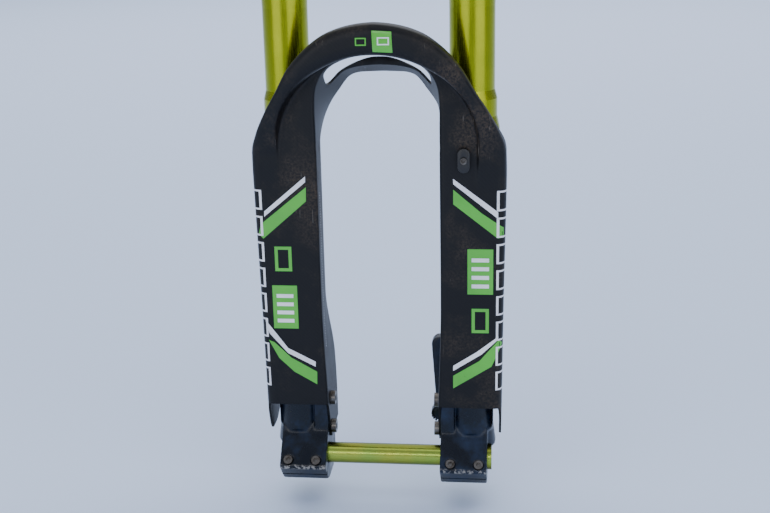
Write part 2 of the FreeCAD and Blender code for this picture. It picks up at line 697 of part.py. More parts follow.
# --- Thru axle ---------------------------------------------------------------------------------
axle_head = cell("axle_head", 4)
axle_head_r = cell("axle_head_radius", 12.5)
axle_in_r = cell("axle_inner_radius", 7)
axle_tail = cell("axle_tail", 1)
axle = new_body("axle")
axle_low = -block_out_x - axle_tail
pad_disc(axle, "YZ", axle_low, -axle_low + block_out_x, 0, 0, axle_r)
pad_disc(axle, "YZ", block_out_x + 0.2, axle_head, 0, 0, axle_head_r)
cut_disc(axle, "YZ", axle_low, -axle_low + block_out_x + axle_head, 0, 0, axle_in_r)
place(axle, 0, axle_y, -axle_to_crown)


# --- Torsion arch: both guards and the double bow ---------------------------------------------
arch = new_body("torsion_arch")
inside = [(guard_foot_x, inner_tail), (guard_foot_x, pinch_low), (guard_in_x, pinch_high)]


def tunnel(extra, tops):
    """Half of the vault's outline, from its foot to its crown, extra outside the inner face."""
    side_run = [(x + extra, z) for x, z in inside]
    return side_run + [(x + extra * out, z + extra * up) for x, z, out, up in tops]


front_tops = [(guard_in_x, panel_top, 1, 0.4), (cell("vault_hip_x", 42), above_axle("vault_hip_up", 377),
               0.6, 0.8), (cell("vault_brow_x", 22), above_axle("vault_brow_up", 387), 0.3, 1)]
rear_tops = [(guard_in_x, above_axle("rear_hip_up", 325), 1, 0.4),
             (cell("rear_haunch_x", 41), above_axle("rear_haunch_up", 350), 0.7, 0.7),
             (cell("rear_brow_x", 30), above_axle("rear_brow_up", 363), 0.2, 1)]


rear_bow = [(cell("rear_bow_foot_x", 47), above_axle("rear_bow_foot_up", 350)),
            (cell("rear_bow_hip_x", 43), above_axle("rear_bow_hip_up", 362)),
            (cell("rear_bow_brow_x", 28), above_axle("rear_bow_brow_up", 375)),
            (size(0), above_axle("rear_bow_top_up", 382))]
rear_bow_depth = cell("rear_bow_depth", 10)


def vault(body, kind, extra):
    """The roof over the tyre, lofted from the front bow back to the lower rear bow."""
    sections = []
    for tops, crown_z, y in ((front_tops, bow_under_z, guard_front),
                             (rear_tops, roof_rear_z, guard_rear)):
        half = tunnel(size(extra), tops)
        whole = half + [(size(0), crown_z + extra)]
        whole += [(-x, z) for x, z in reversed(half)]
        sketch = new_sketch(body, "XZ", -y)
        outline(sketch, whole)
        sections.append(sketch)
    feature = body.newObject(kind, "vault")
    feature.Profile = sections[0]
    feature.Sections = sections[1:]
    feature.Ruled = True
    doc.recompute()
    return feature


vault(arch, "PartDesign::AdditiveLoft", wall)
for name, side in SIDES:
    x = guard_out_x * side
    pad_outline(arch, "XZ", -guard_front - wall, wall, [
        (guard_foot_x * side, panel_foot), (guard_foot_x * side, pinch_low),
        (guard_in_x * side, pinch_high), (guard_in_x * side, panel_top), (bow_end_x * side, bow_end_z),
        (x, shoulder_z), (x, panel_foot)])
    low_x = guard_out_x - wall if side > 0 else -guard_out_x
    pad_outline(arch, "YZ", low_x, wall, [
        (guard_front, panel_foot), (axle_y + 12, outer_tail), (guard_rear, outer_tail + 8),
        (guard_rear, shoulder_z - 34), (guard_front, shoulder_z)])
pad_outline(arch, "XZ", -guard_front, guard_front - bow_front, [
    (-bow_foot_x, shoulder_z), (-bow_end_x, bow_end_z, bow_r, 1), (bow_end_x, bow_end_z),
    (bow_foot_x, shoulder_z), (crease_r, shoulder_z, crease_r + 0.01, -1), (-crease_r, shoulder_z)])
pad_outline(arch, "XZ", -slot_rear - rear_bow_depth, rear_bow_depth, [
    (x * side, z) for side, run in ((-1, rear_bow), (1, rear_bow[-2::-1])) for x, z in run])
vault(arch, "PartDesign::SubtractiveLoft", 0)
cut_outline(arch, "XY", panel_top - 12, size(60), [
    (-slot_x, guard_front), (slot_x, guard_front), (slot_x, slot_rear), (-slot_x, slot_rear)])
cut_outline(arch, "YZ", -guard_out_x, guard_out_x * 2, [
    (guard_front, shoulder_z - 1), (bow_front - 1, bow_chin_z), (bow_front - 1, shoulder_z - 1)])
for name, side in SIDES:
    for z in guard_bolt_z:
        start = guard_foot_x if side > 0 else -guard_foot_x - wall
        cut_disc(arch, "YZ", start, wall, guard_bolt_y, z, guard_bolt_r)

guard_head_r = cell("guard_bolt_head", 6.75)
guard_head_up = cell("guard_bolt_head_up", 4.5)
for name, side in SIDES:
    group(f"guard_bolts_{name}", [
        cap_screw(f"guard_bolt_{name}_{i}", guard_foot_x * side, guard_bolt_y, z, (side, 0, 0),
                  guard_head_r, guard_head_up, guard_bolt_r, lug_x - guard_foot_x - 4)
        for i, z in enumerate(guard_bolt_z)])

hose_x = cell("hose_guide_x", 78)
hose_z = above_axle("hose_guide_up", 294.5)
hose_half = cell("hose_guide_half", 5.5)
hose_reach = cell("hose_guide_reach", 6)
hose = new_body("hose_guide")
pad_outline(hose, "XZ", -guard_front, hose_reach, [
    (hose_x + hose_half, hose_z - 6), (hose_x + hose_half, hose_z + 6, hose_half + 0.01, -1),
    (hose_x - hose_half, hose_z + 6), (hose_x - hose_half, hose_z - 6, hose_half + 0.01, -1)])
hose_hole_r = cell("hose_screw_radius", 1.5)
cut_disc(hose, "XZ", -guard_front, hose_reach, hose_x, hose_z, hose_hole_r)
keep(cap_screw("hose_screw", hose_x, guard_front - hose_reach, hose_z, (0, 1, 0), size(3), size(1.8),
               hose_hole_r, hose_reach), "hose_guide_screw")


# --- Check everything, then write one file per sub-part ----------------------------------------
doc.recompute()
broken = [o.Label for o in doc.Objects if "Invalid" in o.State or "Error" in o.State]
broken += [n.Label for n in nodes if n.Shape.isNull() or not n.Shape.isValid()]
if broken:
    raise SystemExit(f"these objects failed: {broken}")
os.makedirs("parts", exist_ok=True)
for node in nodes:
    node.Shape.exportStep(f"parts/{node.Label}.step")
print(f"{len(nodes)} sub-parts written")
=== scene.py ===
"""Looks for an upside-down double-crown suspension fork: its carbon torsion arch, decals, finishes and light."""
import json
import math
import bmesh
import bpy
from mathutils import Matrix, Vector
from mathutils.bvhtree import BVHTree


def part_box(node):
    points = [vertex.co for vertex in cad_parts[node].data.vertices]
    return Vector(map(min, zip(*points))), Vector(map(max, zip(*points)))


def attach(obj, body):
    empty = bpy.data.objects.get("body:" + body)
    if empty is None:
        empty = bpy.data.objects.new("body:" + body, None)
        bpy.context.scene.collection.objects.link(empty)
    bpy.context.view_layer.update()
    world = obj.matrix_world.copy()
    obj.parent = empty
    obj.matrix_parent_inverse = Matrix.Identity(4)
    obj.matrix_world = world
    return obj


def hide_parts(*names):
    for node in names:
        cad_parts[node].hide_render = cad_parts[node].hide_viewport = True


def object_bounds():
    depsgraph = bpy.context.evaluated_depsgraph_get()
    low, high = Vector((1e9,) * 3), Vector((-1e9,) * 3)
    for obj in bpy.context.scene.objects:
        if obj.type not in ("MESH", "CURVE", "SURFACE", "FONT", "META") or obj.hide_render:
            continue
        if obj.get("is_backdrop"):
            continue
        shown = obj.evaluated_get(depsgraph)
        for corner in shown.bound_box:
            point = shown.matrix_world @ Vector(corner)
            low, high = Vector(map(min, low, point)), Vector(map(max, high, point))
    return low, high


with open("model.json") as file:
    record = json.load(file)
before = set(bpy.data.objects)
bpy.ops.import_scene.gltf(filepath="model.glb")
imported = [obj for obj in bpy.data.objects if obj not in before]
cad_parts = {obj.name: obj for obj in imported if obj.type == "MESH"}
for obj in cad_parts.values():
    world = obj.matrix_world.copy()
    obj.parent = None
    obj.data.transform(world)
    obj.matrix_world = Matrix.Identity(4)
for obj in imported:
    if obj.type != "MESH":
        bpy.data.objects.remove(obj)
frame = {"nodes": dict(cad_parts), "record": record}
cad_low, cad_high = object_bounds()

MM = 0.001
nodes = frame["nodes"]


# --- Places, all from the frame ----------------------------------------------------------------
def middle(node):
    low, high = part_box(node)
    return (low + high) / 2


AXLE_Y = middle("axle").y
AXLE_Z = middle("axle").z
LEG_X = middle("stanchion_left").x
LEG_Y = middle("stanchion_left").y


def at(x, lead, up):
    """A point x mm to the rider's left, lead mm ahead of the axle and up mm above it."""
    return Vector((x * MM, AXLE_Y - lead * MM, AXLE_Z + up * MM))


# --- Materials ---------------------------------------------------------------------------------
def colour(text):
    """sRGB hex to linear RGBA."""
    out = []
    for i in (0, 2, 4):
        c = int(text[i:i + 2], 16) / 255
        out.append(c / 12.92 if c <= 0.04045 else ((c + 0.055) / 1.055) ** 2.4)
    return (*out, 1.0)


def node(tree, kind, inputs=None, out=0, **settings):
    """Add one node and give its output; inputs maps a socket's name or number to a value or another output."""
    made = tree.nodes.new(kind)
    for name, value in settings.items():
        setattr(made, name, value)
    for name, value in (inputs or {}).items():
        if isinstance(value, bpy.types.NodeSocket):
            tree.links.new(value, made.inputs[name])
        else:
            made.inputs[name].default_value = value
    return made.outputs[out]


def material(name, base, metallic=0.0, roughness=0.5, **extra):
    """A Principled material; returns it with its tree, its shader and Object coordinates."""
    made = bpy.data.materials.new(name)
    made.use_nodes = True
    tree = made.node_tree
    shader = tree.nodes["Principled BSDF"]
    shader.inputs["Base Color"].default_value = colour(base)
    shader.inputs["Metallic"].default_value = metallic
    shader.inputs["Roughness"].default_value = roughness
    for key, value in extra.items():
        shader.inputs[key.replace("_", " ")].default_value = value
    made.diffuse_color = colour(base)
    place = tree.nodes.new("ShaderNodeTexCoord").outputs["Object"]
    return made, tree, shader, place


# Pattern sizes below are features per metre. Colour is in sockets 6 and 7 of a Mix node, and comes out of 2.
DRAW_LINES = 3000        # one line about every 0.3 mm
DARK_REFLECTION_BANDS = ((-1.5, -8, 0.85), (6.5, 9.5, 0.7))     # mm from the axle's middle where the painted dark reflection starts and is deepest
SCUFFS = ((at(98, 12, 322), 0.034), (at(66, 30, 368), 0.026), (at(-64, 7, 250), 0.05))    # place, reach in m
CHIPPED_EDGE = at(0, 25.5, -6)                       # the clamps' front edge


def anodised_green(name, base, deep, draw, painted_reflection=None):
    """Polished and dyed aluminium with faint draw lines along it, and perhaps a painted dark reflection in bands
    above and below the axle's middle.
    """
    made, tree, shader, place = material(name, base, metallic=1.0, roughness=0.2)
    along = node(tree, "ShaderNodeMapping", {"Vector": place, "Scale": draw})
    lines = node(tree, "ShaderNodeTexNoise", {"Vector": along, "Scale": DRAW_LINES, "Detail": 2})
    cloud = node(tree, "ShaderNodeTexNoise", {"Vector": place, "Scale": 28, "Detail": 3})
    uneven = node(tree, "ShaderNodeMapRange", {"Value": cloud, "From Min": 0.3, "From Max": 0.7})
    tint = node(tree, "ShaderNodeMix", {0: uneven, 6: colour(base), 7: colour(deep)}, 2, data_type="RGBA")
    if painted_reflection:
        # Painted reflection: bands below and above the axle's middle are darkened towards the given colour, leaving
        # a bright painted band between them
        height = node(tree, "ShaderNodeSeparateXYZ", {"Vector": place}, "Z")
        for start, full, most in DARK_REFLECTION_BANDS:
            reflection_shade = node(tree, "ShaderNodeMapRange", {"Value": height, "From Min": AXLE_Z + start * MM,
                                                    "From Max": AXLE_Z + full * MM, "To Max": most})
            tint = node(tree, "ShaderNodeMix", {0: reflection_shade, 6: tint, 7: colour(painted_reflection)}, 2, data_type="RGBA")
    gloss = node(tree, "ShaderNodeMapRange", {"Value": lines, "From Min": 0.2, "From Max": 0.8,
                                              "To Min": 0.2, "To Max": 0.32})
    relief = node(tree, "ShaderNodeBump", {"Height": lines, "Strength": 0.06, "Distance": 0.00004})
    tree.links.new(tint, shader.inputs["Base Color"])
    tree.links.new(gloss, shader.inputs["Roughness"])
    tree.links.new(relief, shader.inputs["Normal"])
    return made


def carbon():
    """Moulded carbon fibre, satin: near black, with brown dust in patches, fine scratches and scuffed places."""
    made, tree, shader, place = material("carbon_satin_clear_coat", "0B0B0E", roughness=0.42,
                                         Specular_IOR_Level=0.26)
    weave = node(tree, "ShaderNodeTexWave", {"Vector": place, "Scale": 160, "Distortion": 2.5}, "Fac",
                 wave_type="BANDS", bands_direction="DIAGONAL")
    patch = node(tree, "ShaderNodeTexNoise", {"Vector": place, "Scale": 17, "Detail": 6, "Roughness": 0.6})
    grit = node(tree, "ShaderNodeTexNoise", {"Vector": place, "Scale": 420, "Detail": 5, "Roughness": 0.7})
    along = node(tree, "ShaderNodeMapping", {"Vector": place, "Scale": (1.0, 0.2, 0.05)})
    streak = node(tree, "ShaderNodeTexNoise", {"Vector": along, "Scale": 620, "Detail": 2})

    scuff = None
    for spot, reach in SCUFFS:
        away = node(tree, "ShaderNodeVectorMath", {0: place, 1: spot}, "Value", operation="DISTANCE")
        near = node(tree, "ShaderNodeMapRange", {"Value": away, "From Min": 0.2 * reach, "From Max": reach,
                                                 "To Min": 0.2, "To Max": 0.0})
        scuff = node(tree, "ShaderNodeMath", {0: scuff, 1: near}, operation="ADD") if scuff else near
    soiled = node(tree, "ShaderNodeMath", {0: patch, 1: scuff}, operation="ADD")

    dirty = node(tree, "ShaderNodeMapRange", {"Value": soiled, "From Min": 0.5, "From Max": 0.74})
    grainy = node(tree, "ShaderNodeMapRange", {"Value": grit, "From Min": 0.4, "From Max": 0.64})
    dust = node(tree, "ShaderNodeMath", {0: dirty, 1: grainy}, operation="MULTIPLY")
    thin = node(tree, "ShaderNodeMapRange", {"Value": streak, "From Min": 0.68, "From Max": 0.72})
    rubbed = node(tree, "ShaderNodeMapRange", {"Value": soiled, "From Min": 0.54, "From Max": 0.68})
    scratches = node(tree, "ShaderNodeMath", {0: thin, 1: rubbed}, operation="MULTIPLY")

    band = node(tree, "ShaderNodeMapRange", {"Value": weave, "From Min": 0.3, "From Max": 0.7})
    black = node(tree, "ShaderNodeMix", {0: band, 6: colour("08080B"), 7: colour("0B0B0E")}, 2, data_type="RGBA")
    veil = node(tree, "ShaderNodeMapRange", {"Value": dust, "To Max": 0.5})
    dusty = node(tree, "ShaderNodeMix", {0: veil, 6: black, 7: colour("5A4D40")}, 2, data_type="RGBA")
    pale = node(tree, "ShaderNodeMapRange", {"Value": scratches, "To Max": 0.6})
    worn = node(tree, "ShaderNodeMix", {0: pale, 6: dusty, 7: colour("85807A")}, 2, data_type="RGBA")
    gloss = node(tree, "ShaderNodeMapRange", {"Value": dust, "To Min": 0.46, "To Max": 0.68})
    relief = node(tree, "ShaderNodeBump", {"Height": grit, "Strength": 0.05, "Distance": 0.0001})
    tree.links.new(worn, shader.inputs["Base Color"])
    tree.links.new(gloss, shader.inputs["Roughness"])
    tree.links.new(relief, shader.inputs["Normal"])
    return made


def forged_black():
    """Black anodised forging: blue-black, rubbed in patches, with bare metal chips along the clamp's front edge."""
    made, tree, shader, place = material("forged_aluminium_black", "0C1017", metallic=0.15, roughness=0.3,
                                         Specular_IOR_Level=0.34)
    patch = node(tree, "ShaderNodeTexNoise", {"Vector": place, "Scale": 48, "Detail": 6, "Roughness": 0.65})
    grain = node(tree, "ShaderNodeTexNoise", {"Vector": place, "Scale": 2200, "Detail": 2})
    speck = node(tree, "ShaderNodeTexNoise", {"Vector": place, "Scale": 240, "Detail": 5, "Roughness": 0.7})
    rubbed = node(tree, "ShaderNodeMapRange", {"Value": patch, "From Min": 0.46, "From Max": 0.74})
    shade = node(tree, "ShaderNodeMix", {0: rubbed, 6: colour("0A101A"), 7: colour("192A43")}, 2,
                 data_type="RGBA")
    level = node(tree, "ShaderNodeMapping", {"Vector": place, "Scale": (0, 1, 1)})
    away = node(tree, "ShaderNodeVectorMath", {0: level, 1: (0, CHIPPED_EDGE.y, CHIPPED_EDGE.z)}, "Value",
                operation="DISTANCE")
    edge = node(tree, "ShaderNodeMapRange", {"Value": away, "From Min": 0.0012, "From Max": 0.0042,
                                             "To Min": 1.0, "To Max": 0.0})
    flecks = node(tree, "ShaderNodeMapRange", {"Value": speck, "From Min": 0.5, "From Max": 0.56})
    chips = node(tree, "ShaderNodeMath", {0: edge, 1: flecks}, operation="MULTIPLY")
    chipped = node(tree, "ShaderNodeMix", {0: chips, 6: shade, 7: colour("8F8C88")}, 2, data_type="RGBA")
    gloss = node(tree, "ShaderNodeMapRange", {"Value": patch, "From Min": 0.3, "From Max": 0.7,
                                              "To Min": 0.22, "To Max": 0.4})
    relief = node(tree, "ShaderNodeBump", {"Height": grain, "Strength": 0.12, "Distance": 0.00006})
    tree.links.new(chipped, shader.inputs["Base Color"])
    tree.links.new(gloss, shader.inputs["Roughness"])
    tree.links.new(relief, shader.inputs["Normal"])
    return made


def satin_black():
    """Black anodised aluminium, machined and satin blasted."""
    made, tree, shader, place = material("aluminium_black_anodised", "141416", metallic=0.7, roughness=0.38)
    grain = node(tree, "ShaderNodeTexNoise", {"Vector": place, "Scale": 1800, "Detail": 2})
    cloud = node(tree, "ShaderNodeTexNoise", {"Vector": place, "Scale": 40, "Detail": 4})
    gloss = node(tree, "ShaderNodeMapRange", {"Value": cloud, "From Min": 0.3, "From Max": 0.7,
                                              "To Min": 0.32, "To Max": 0.46})
    relief = node(tree, "ShaderNodeBump", {"Height": grain, "Strength": 0.08, "Distance": 0.00005})
    tree.links.new(gloss, shader.inputs["Roughness"])
    tree.links.new(relief, shader.inputs["Normal"])
    return made


def plain_metal(name, base, roughness, rust=None):
    """Bare turned or plated metal with faint handling marks."""
    made, tree, shader, place = material(name, base, metallic=1.0, roughness=roughness)
    cloud = node(tree, "ShaderNodeTexNoise", {"Vector": place, "Scale": 160, "Detail": 5})
    if rust:
        stained = node(tree, "ShaderNodeMapRange", {"Value": cloud, "From Min": 0.4, "From Max": 0.7})
        tint = node(tree, "ShaderNodeMix", {0: stained, 6: colour(base), 7: colour(rust)}, 2, data_type="RGBA")
        tree.links.new(tint, shader.inputs["Base Color"])
    gloss = node(tree, "ShaderNodeMapRange", {"Value": cloud, "From Min": 0.3, "From Max": 0.7,
                                              "To Min": roughness * 0.8, "To Max": roughness * 1.3})
    tree.links.new(gloss, shader.inputs["Roughness"])
    return made


def soft_matt(name, base, roughness, grit_scale):
    """Moulded rubber or plastic: matt, with a fine moulded grain."""
    made, tree, shader, place = material(name, base, roughness=roughness)
    grain = node(tree, "ShaderNodeTexNoise", {"Vector": place, "Scale": grit_scale, "Detail": 3})
    gloss = node(tree, "ShaderNodeMapRange", {"Value": grain, "From Min": 0.3, "From Max": 0.7,
                                              "To Min": roughness - 0.06, "To Max": roughness + 0.08})
    relief = node(tree, "ShaderNodeBump", {"Height": grain, "Strength": 0.15, "Distance": 0.00008})
    tree.links.new(gloss, shader.inputs["Roughness"])
    tree.links.new(relief, shader.inputs["Normal"])
    return made


def vinyl(name, base, worn):
    """Printed vinyl under clear coat, scuffed so that the black shows through in small flecks."""
    made, tree, shader, place = material(name, base, roughness=0.32, Coat_Weight=0.4, Coat_Roughness=0.15)
    speck = node(tree, "ShaderNodeTexNoise", {"Vector": place, "Scale": 260, "Detail": 5, "Roughness": 0.7})
    cloud = node(tree, "ShaderNodeTexNoise", {"Vector": place, "Scale": 30, "Detail": 3})
    chip = node(tree, "ShaderNodeMapRange", {"Value": speck, "From Min": 0.66, "From Max": 0.70})
    rubbed = node(tree, "ShaderNodeMapRange", {"Value": cloud, "From Min": 0.50, "From Max": 0.62})
    fleck = node(tree, "ShaderNodeMath", {0: chip, 1: rubbed}, operation="MULTIPLY")
    faded = node(tree, "ShaderNodeMapRange", {"Value": cloud, "From Min": 0.3, "From Max": 0.7})
    tint = node(tree, "ShaderNodeMix", {0: faded, 6: colour(base), 7: colour(worn)}, 2, data_type="RGBA")
    flecked = node(tree, "ShaderNodeMix", {0: fleck, 6: tint, 7: colour("26231F")}, 2, data_type="RGBA")
    tree.links.new(flecked, shader.inputs["Base Color"])
    return made


FINISH = {
    "green_anodised": anodised_green("aluminium_green_anodised", "A3A822", "959C1E", (1, 1, 0.02)),
    "carbon": carbon(),
    "dropout_paint": forged_black(),
    "black_anodised": satin_black(),
    "stanchion_coating": plain_metal("aluminium_hard_anodised", "4A443E", 0.14),
    "bolt_steel": plain_metal("steel_zinc_plated_worn", "74706B", 0.36, "3F3832"),
    "bright_steel": plain_metal("steel_ground", "C8C8C8", 0.16),
    "seal_rubber": soft_matt("nitrile_rubber", "131313", 0.62, 900),
    "bushing_bronze": plain_metal("bronze_coated", "8E6E44", 0.35),
    "plain_alloy": plain_metal("aluminium_turned", "B9BABD", 0.28),
    "valve_brass": plain_metal("brass_turned", "C2A35A", 0.25),
    "black_plastic": soft_matt("nylon_black", "0D0D0F", 0.42, 1200),
}
WHITE = vinyl("vinyl_white", "F2F2F6", "DEDEE6")
GREEN = vinyl("vinyl_green", "4FB82E", "46A628")
# The axle's last colour is its painted dark reflection, laid in bands above and below its middle
AXLE_GREEN = anodised_green("aluminium_green_anodised_turned", "B0B446", "8CB450", (0.02, 1, 1), "3C3410")

for entry in frame["record"]["subparts"]:
    mesh = nodes[entry["node"]].data
    finish = AXLE_GREEN if entry["node"] == "axle" else FINISH[entry["material_slot"]]
    mesh.materials.clear()
    mesh.materials.append(finish)


# --- Torsion arch ------------------------------------------------------------------------------
SHOULDER = 300.0         # height above the axle where the guards give way to the bow
WALL = 2.2
ROOF_THICK = 7.5         # wall of the rear bow at its middle
EDGE = 0.6               # how far the moulded edges are eased
LEG_ROWS = 70
ARCH_ROWS = 121
TYRE_SIDE = 55.8         # inner face of the guards


def spline(keys, value):
    """Smooth interpolation through (position, value) keys, flat beyond the ends."""
    if value <= keys[0][0]:
        return keys[0][1]
    if value >= keys[-1][0]:
        return keys[-1][1]
    i = max(k for k in range(len(keys) - 1) if keys[k][0] <= value)
    (x0, y0), (x1, y1) = keys[i], keys[i + 1]
    before = keys[i - 1] if i > 0 else keys[i]
    after = keys[i + 2] if i + 2 < len(keys) else keys[i + 1]
    m0 = (y1 - before[1]) / (x1 - before[0])
    m1 = (after[1] - y0) / (after[0] - x0)
    width = x1 - x0
    t = (value - x0) / width
    return ((2 * t ** 3 - 3 * t ** 2 + 1) * y0 + (t ** 3 - 2 * t ** 2 + t) * width * m0
            + (3 * t ** 2 - 2 * t ** 3) * y1 + (t ** 3 - t ** 2) * width * m1)


def ease(low, high, value):
    t = min(1.0, max(0.0, (value - low) / (high - low)))
    return t * t * (3 - 2 * t)


def rounded(corners, radii, counts):
    """Points along a polyline whose corners are eased by Bezier arcs."""
    points = []
    start = Vector(corners[0])
    for i in range(1, len(corners)):
        here = Vector(corners[i])
        back = here - Vector(corners[i - 1])
        if i == len(corners) - 1:
            stop = here
        else:
            onward = Vector(corners[i + 1]) - here
            reach = min(radii[i], 0.45 * back.length, 0.45 * onward.length)
            stop = here - back.normalized() * reach
            leave = here + onward.normalized() * reach
        run, turn = counts[i - 1]
        points += [start.lerp(stop, k / run) for k in range(run)]
        if i == len(corners) - 1:
            points.append(stop)
            break
        for k in range(turn):
            t = k / turn
            points.append(stop * (1 - t) ** 2 + here * (2 * t * (1 - t)) + leave * t ** 2)
        start = leave
    return points


# Each key is (degrees above the shoulder, mm); 0 is the shoulder and 90 the top of the bow
OUTER = [(0, 116), (4, 114.8), (10, 111.6), (20, 107.6), (33, 105.4), (46, 109.4), (58, 113.4), (69, 116.6),
         (90, 118)]
CREASE = [(0, 89.5), (20, 91.5), (45, 91.5), (65, 90.5), (90, 90)]
BAND = [(0, 9.5), (10, 14), (20, 20), (30, 25), (45, 31), (60, 33.5), (90, 34)]
RIM = [(0, -18), (5, -10), (12, 2), (25, 8.5), (90, 9)]
FRONT_IN = [(0, 55.8), (12, 57.2), (24, 61.4), (36, 69.8), (48, 81.5), (56, 87), (64, 89.6), (90, 89.7)]
REAR_IN = [(0, 61.3), (12, 60.6), (25, 61), (37, 62.2), (50, 64.4), (57, 67), (63, 69.2),
           (69, 69.2), (78, 67.2), (84, 66.3), (90, 66.1)]
REAR_LEAD = -53          # the guards' rear edge
WALL_BENDS = ((-23, 1.85), (-36, 1.0))      # leads where the inner wall bends, and how far short of straight


def wall_bends(front, sill, rear, share):
    """The inner wall's corners from just behind its front edge back to its rear edge."""
    slope = (rear - front) / (sill - REAR_LEAD)
    points = [(front + slope * (sill - lead) - short * share, lead) for lead, short in WALL_BENDS]
    return points + [(rear, REAR_LEAD)]


def arch_section(angle):
    """Corners of the carbon section at an angle up the bow, as (distance from the bow's centre, lead)."""
    outer, crease, band = spline(OUTER, angle), spline(CREASE, angle), spline(BAND, angle)
    rim, front_in, rear_in = spline(RIM, angle), spline(FRONT_IN, angle), spline(REAR_IN, angle)
    fold = ease(8, 40, angle)
    swing = fold * math.pi / 2
    lip = 5 + fold * (outer - crease - 6)
    step = 2.5 - 1.9 * ease(35, 62, angle)
    sill = min(7.0, band - 1.5) + 2 * ease(45, 65, angle)
    front_in = min(front_in, crease - 0.3)
    corners = [(outer - lip * math.sin(swing), rim - lip * math.cos(swing)), (outer, rim), (outer, band),
               (crease + step, band), (crease, sill), (front_in, sill)]
    corners += wall_bends(front_in, sill, rear_in, 1 - ease(0, 30, angle))
    low = ease(20, 60, angle)
    radii = [0, 0.5 + 6 * fold, 9, 3 + 6 * low, 3, 4.5 - 2 * low, 6, 6, 0]
    return corners, radii


COUNTS = [(6, 5), (14, 7), (10, 6), (4, 4), (12, 6), (12, 2), (6, 2), (7, 0)]


def leg_section(up):
    """Corners of the guard's section at a height above the axle."""
    radii = arch_section(0)[1]
    rim = REAR_LEAD + 35 * ease(262, SHOULDER, up)
    outer = spline([(20, 113), (150, 114.4), (270, 116.4), (SHOULDER, 116)], up)
    inner = spline([(20, 52.9), (60, 53.2), (105, 54.8), (150, 55.8), (SHOULDER, TYRE_SIDE)], up)
    fade = ease(262, SHOULDER, up)
    band = 7 + 2.5 * fade
    crease = 88.5 + fade
    corners = [(outer, rim - 5), (outer, rim), (outer, band), (crease + 2.5, band), (crease, 7), (inner, 7)]
    drawn = ease(85, 150, up)
    corners += wall_bends(inner, 7, inner + 5.5 * drawn, drawn)
    return corners, radii


def foot_height(point):
    """How far down the guard reaches at this place in its section."""
    x, lead = point
    outside = ease(100, 113, x) * ease(6, -10, lead) if x > 90 else 0
    inside = ease(66, 54.5, x) * ease(6, -12, lead) if x < 90 else 0
    tail_out = 21 + 8 * ease(-25, -50, lead)
    tail_in = 12 + 5 * ease(-25, -50, lead)
    return 53 + (tail_out - 53) * outside + (tail_in - 53) * inside


def arch_rows():
    """Rows of points from the right guard's foot over the bow to the left guard's foot, as mm."""
    half = []
    for row in range(LEG_ROWS):
        share = row / LEG_ROWS
        rough = rounded(*leg_section(30 + 270 * share), COUNTS)
        exact = []
        for k, point in enumerate(rough):
            foot = foot_height(point)
            up = foot + (SHOULDER - foot) * share
            here = rounded(*leg_section(up), COUNTS)[k]
            exact.append((here.x, here.y, up))
        half.append(exact)
    rows = [[(-x, lead, up) for x, lead, up in row] for row in half]
    for row in range(ARCH_ROWS):
        turn = 180 - 180 * row / (ARCH_ROWS - 1)
        angle = min(turn, 180 - turn)
        around = math.radians(turn)
        rows.append([(p.x * math.cos(around), p.y, SHOULDER + p.x * math.sin(around))
                     for p in rounded(*arch_section(angle), COUNTS)])
    rows += [list(row) for row in reversed(half)]
    return rows


SLOT_HALF = 48.0         # the slot between the bows
SLOT_FRONT = 6.5
SLOT_REAR = -27.0
SLOT_END = 9             # how far its round ends reach in
SLOT_FLOOR = 340         # nothing below this height is slot
ROOF_COLUMN = 60         # points along a section up to here belong to the front face


def in_slot(x, lead, up):
    """Whether a place on the roof lies in the gap between the two bows, whose ends are round."""
    if up < SLOT_FLOOR or not SLOT_REAR <= lead <= SLOT_FRONT:
        return False
    centre = (SLOT_FRONT + SLOT_REAR) / 2
    reach = (SLOT_FRONT - SLOT_REAR) / 2
    over = max(0.0, abs(x) - (SLOT_HALF - SLOT_END)) / SLOT_END
    return over ** 2.4 + (abs(lead - centre) / reach) ** 8 < 1.0


def make_arch():
    """The guards and both bows as one skin, thickened inwards and eased at its edges."""
    rows = arch_rows()
    mesh = bmesh.new()
    grid = [[mesh.verts.new(at(*p)) for p in row] for row in rows]
    for a, b, pa, pb in zip(grid, grid[1:], rows, rows[1:]):
        for k in range(len(a) - 1):
            quad = (pa[k], pa[k + 1], pb[k + 1], pb[k])
            centre = [sum(c) / 4 for c in zip(*quad)]
            if k > ROOF_COLUMN and in_slot(*centre):
                continue
            mesh.faces.new((a[k], a[k + 1], b[k + 1], b[k]))
    mesh.verts.ensure_lookup_table()
    loose = [v for v in mesh.verts if not v.link_faces]
    bmesh.ops.delete(mesh, geom=loose, context="VERTS")
    round_slot(mesh)
    bmesh.ops.recalc_face_normals(mesh, faces=mesh.faces)
    probe = max(mesh.faces, key=lambda f: f.calc_center_median().z)
    if probe.normal.z < 0:
        bmesh.ops.reverse_faces(mesh, faces=mesh.faces)
    data = bpy.data.meshes.new("torsion_arch_carbon")
    mesh.to_mesh(data)
    mesh.free()
    arch = bpy.data.objects.new("torsion_arch_carbon", data)
    bpy.context.scene.collection.objects.link(arch)
    thick = arch.vertex_groups.new(name="thick")
    for v in data.vertices:
        x, lead, up = v.co.x / MM, (AXLE_Y - v.co.y) / MM, (v.co.z - AXLE_Z) / MM
        weight = ease(-14, -27, lead) * ease(338, 352, up) * ease(36, 3, abs(x))
        thick.add([v.index], weight, "REPLACE")
    shell = arch.modifiers.new("shell", "SOLIDIFY")
    shell.thickness = ROOF_THICK * MM
    shell.offset = -1
    shell.vertex_group = "thick"
    shell.thickness_vertex_group = WALL / ROOF_THICK
    shell.use_even_offset = False
    edge = arch.modifiers.new("edge", "BEVEL")
    edge.width = EDGE * MM
    edge.segments = 2
    edge.limit_method = "ANGLE"
    edge.angle_limit = math.radians(55)
    return arch


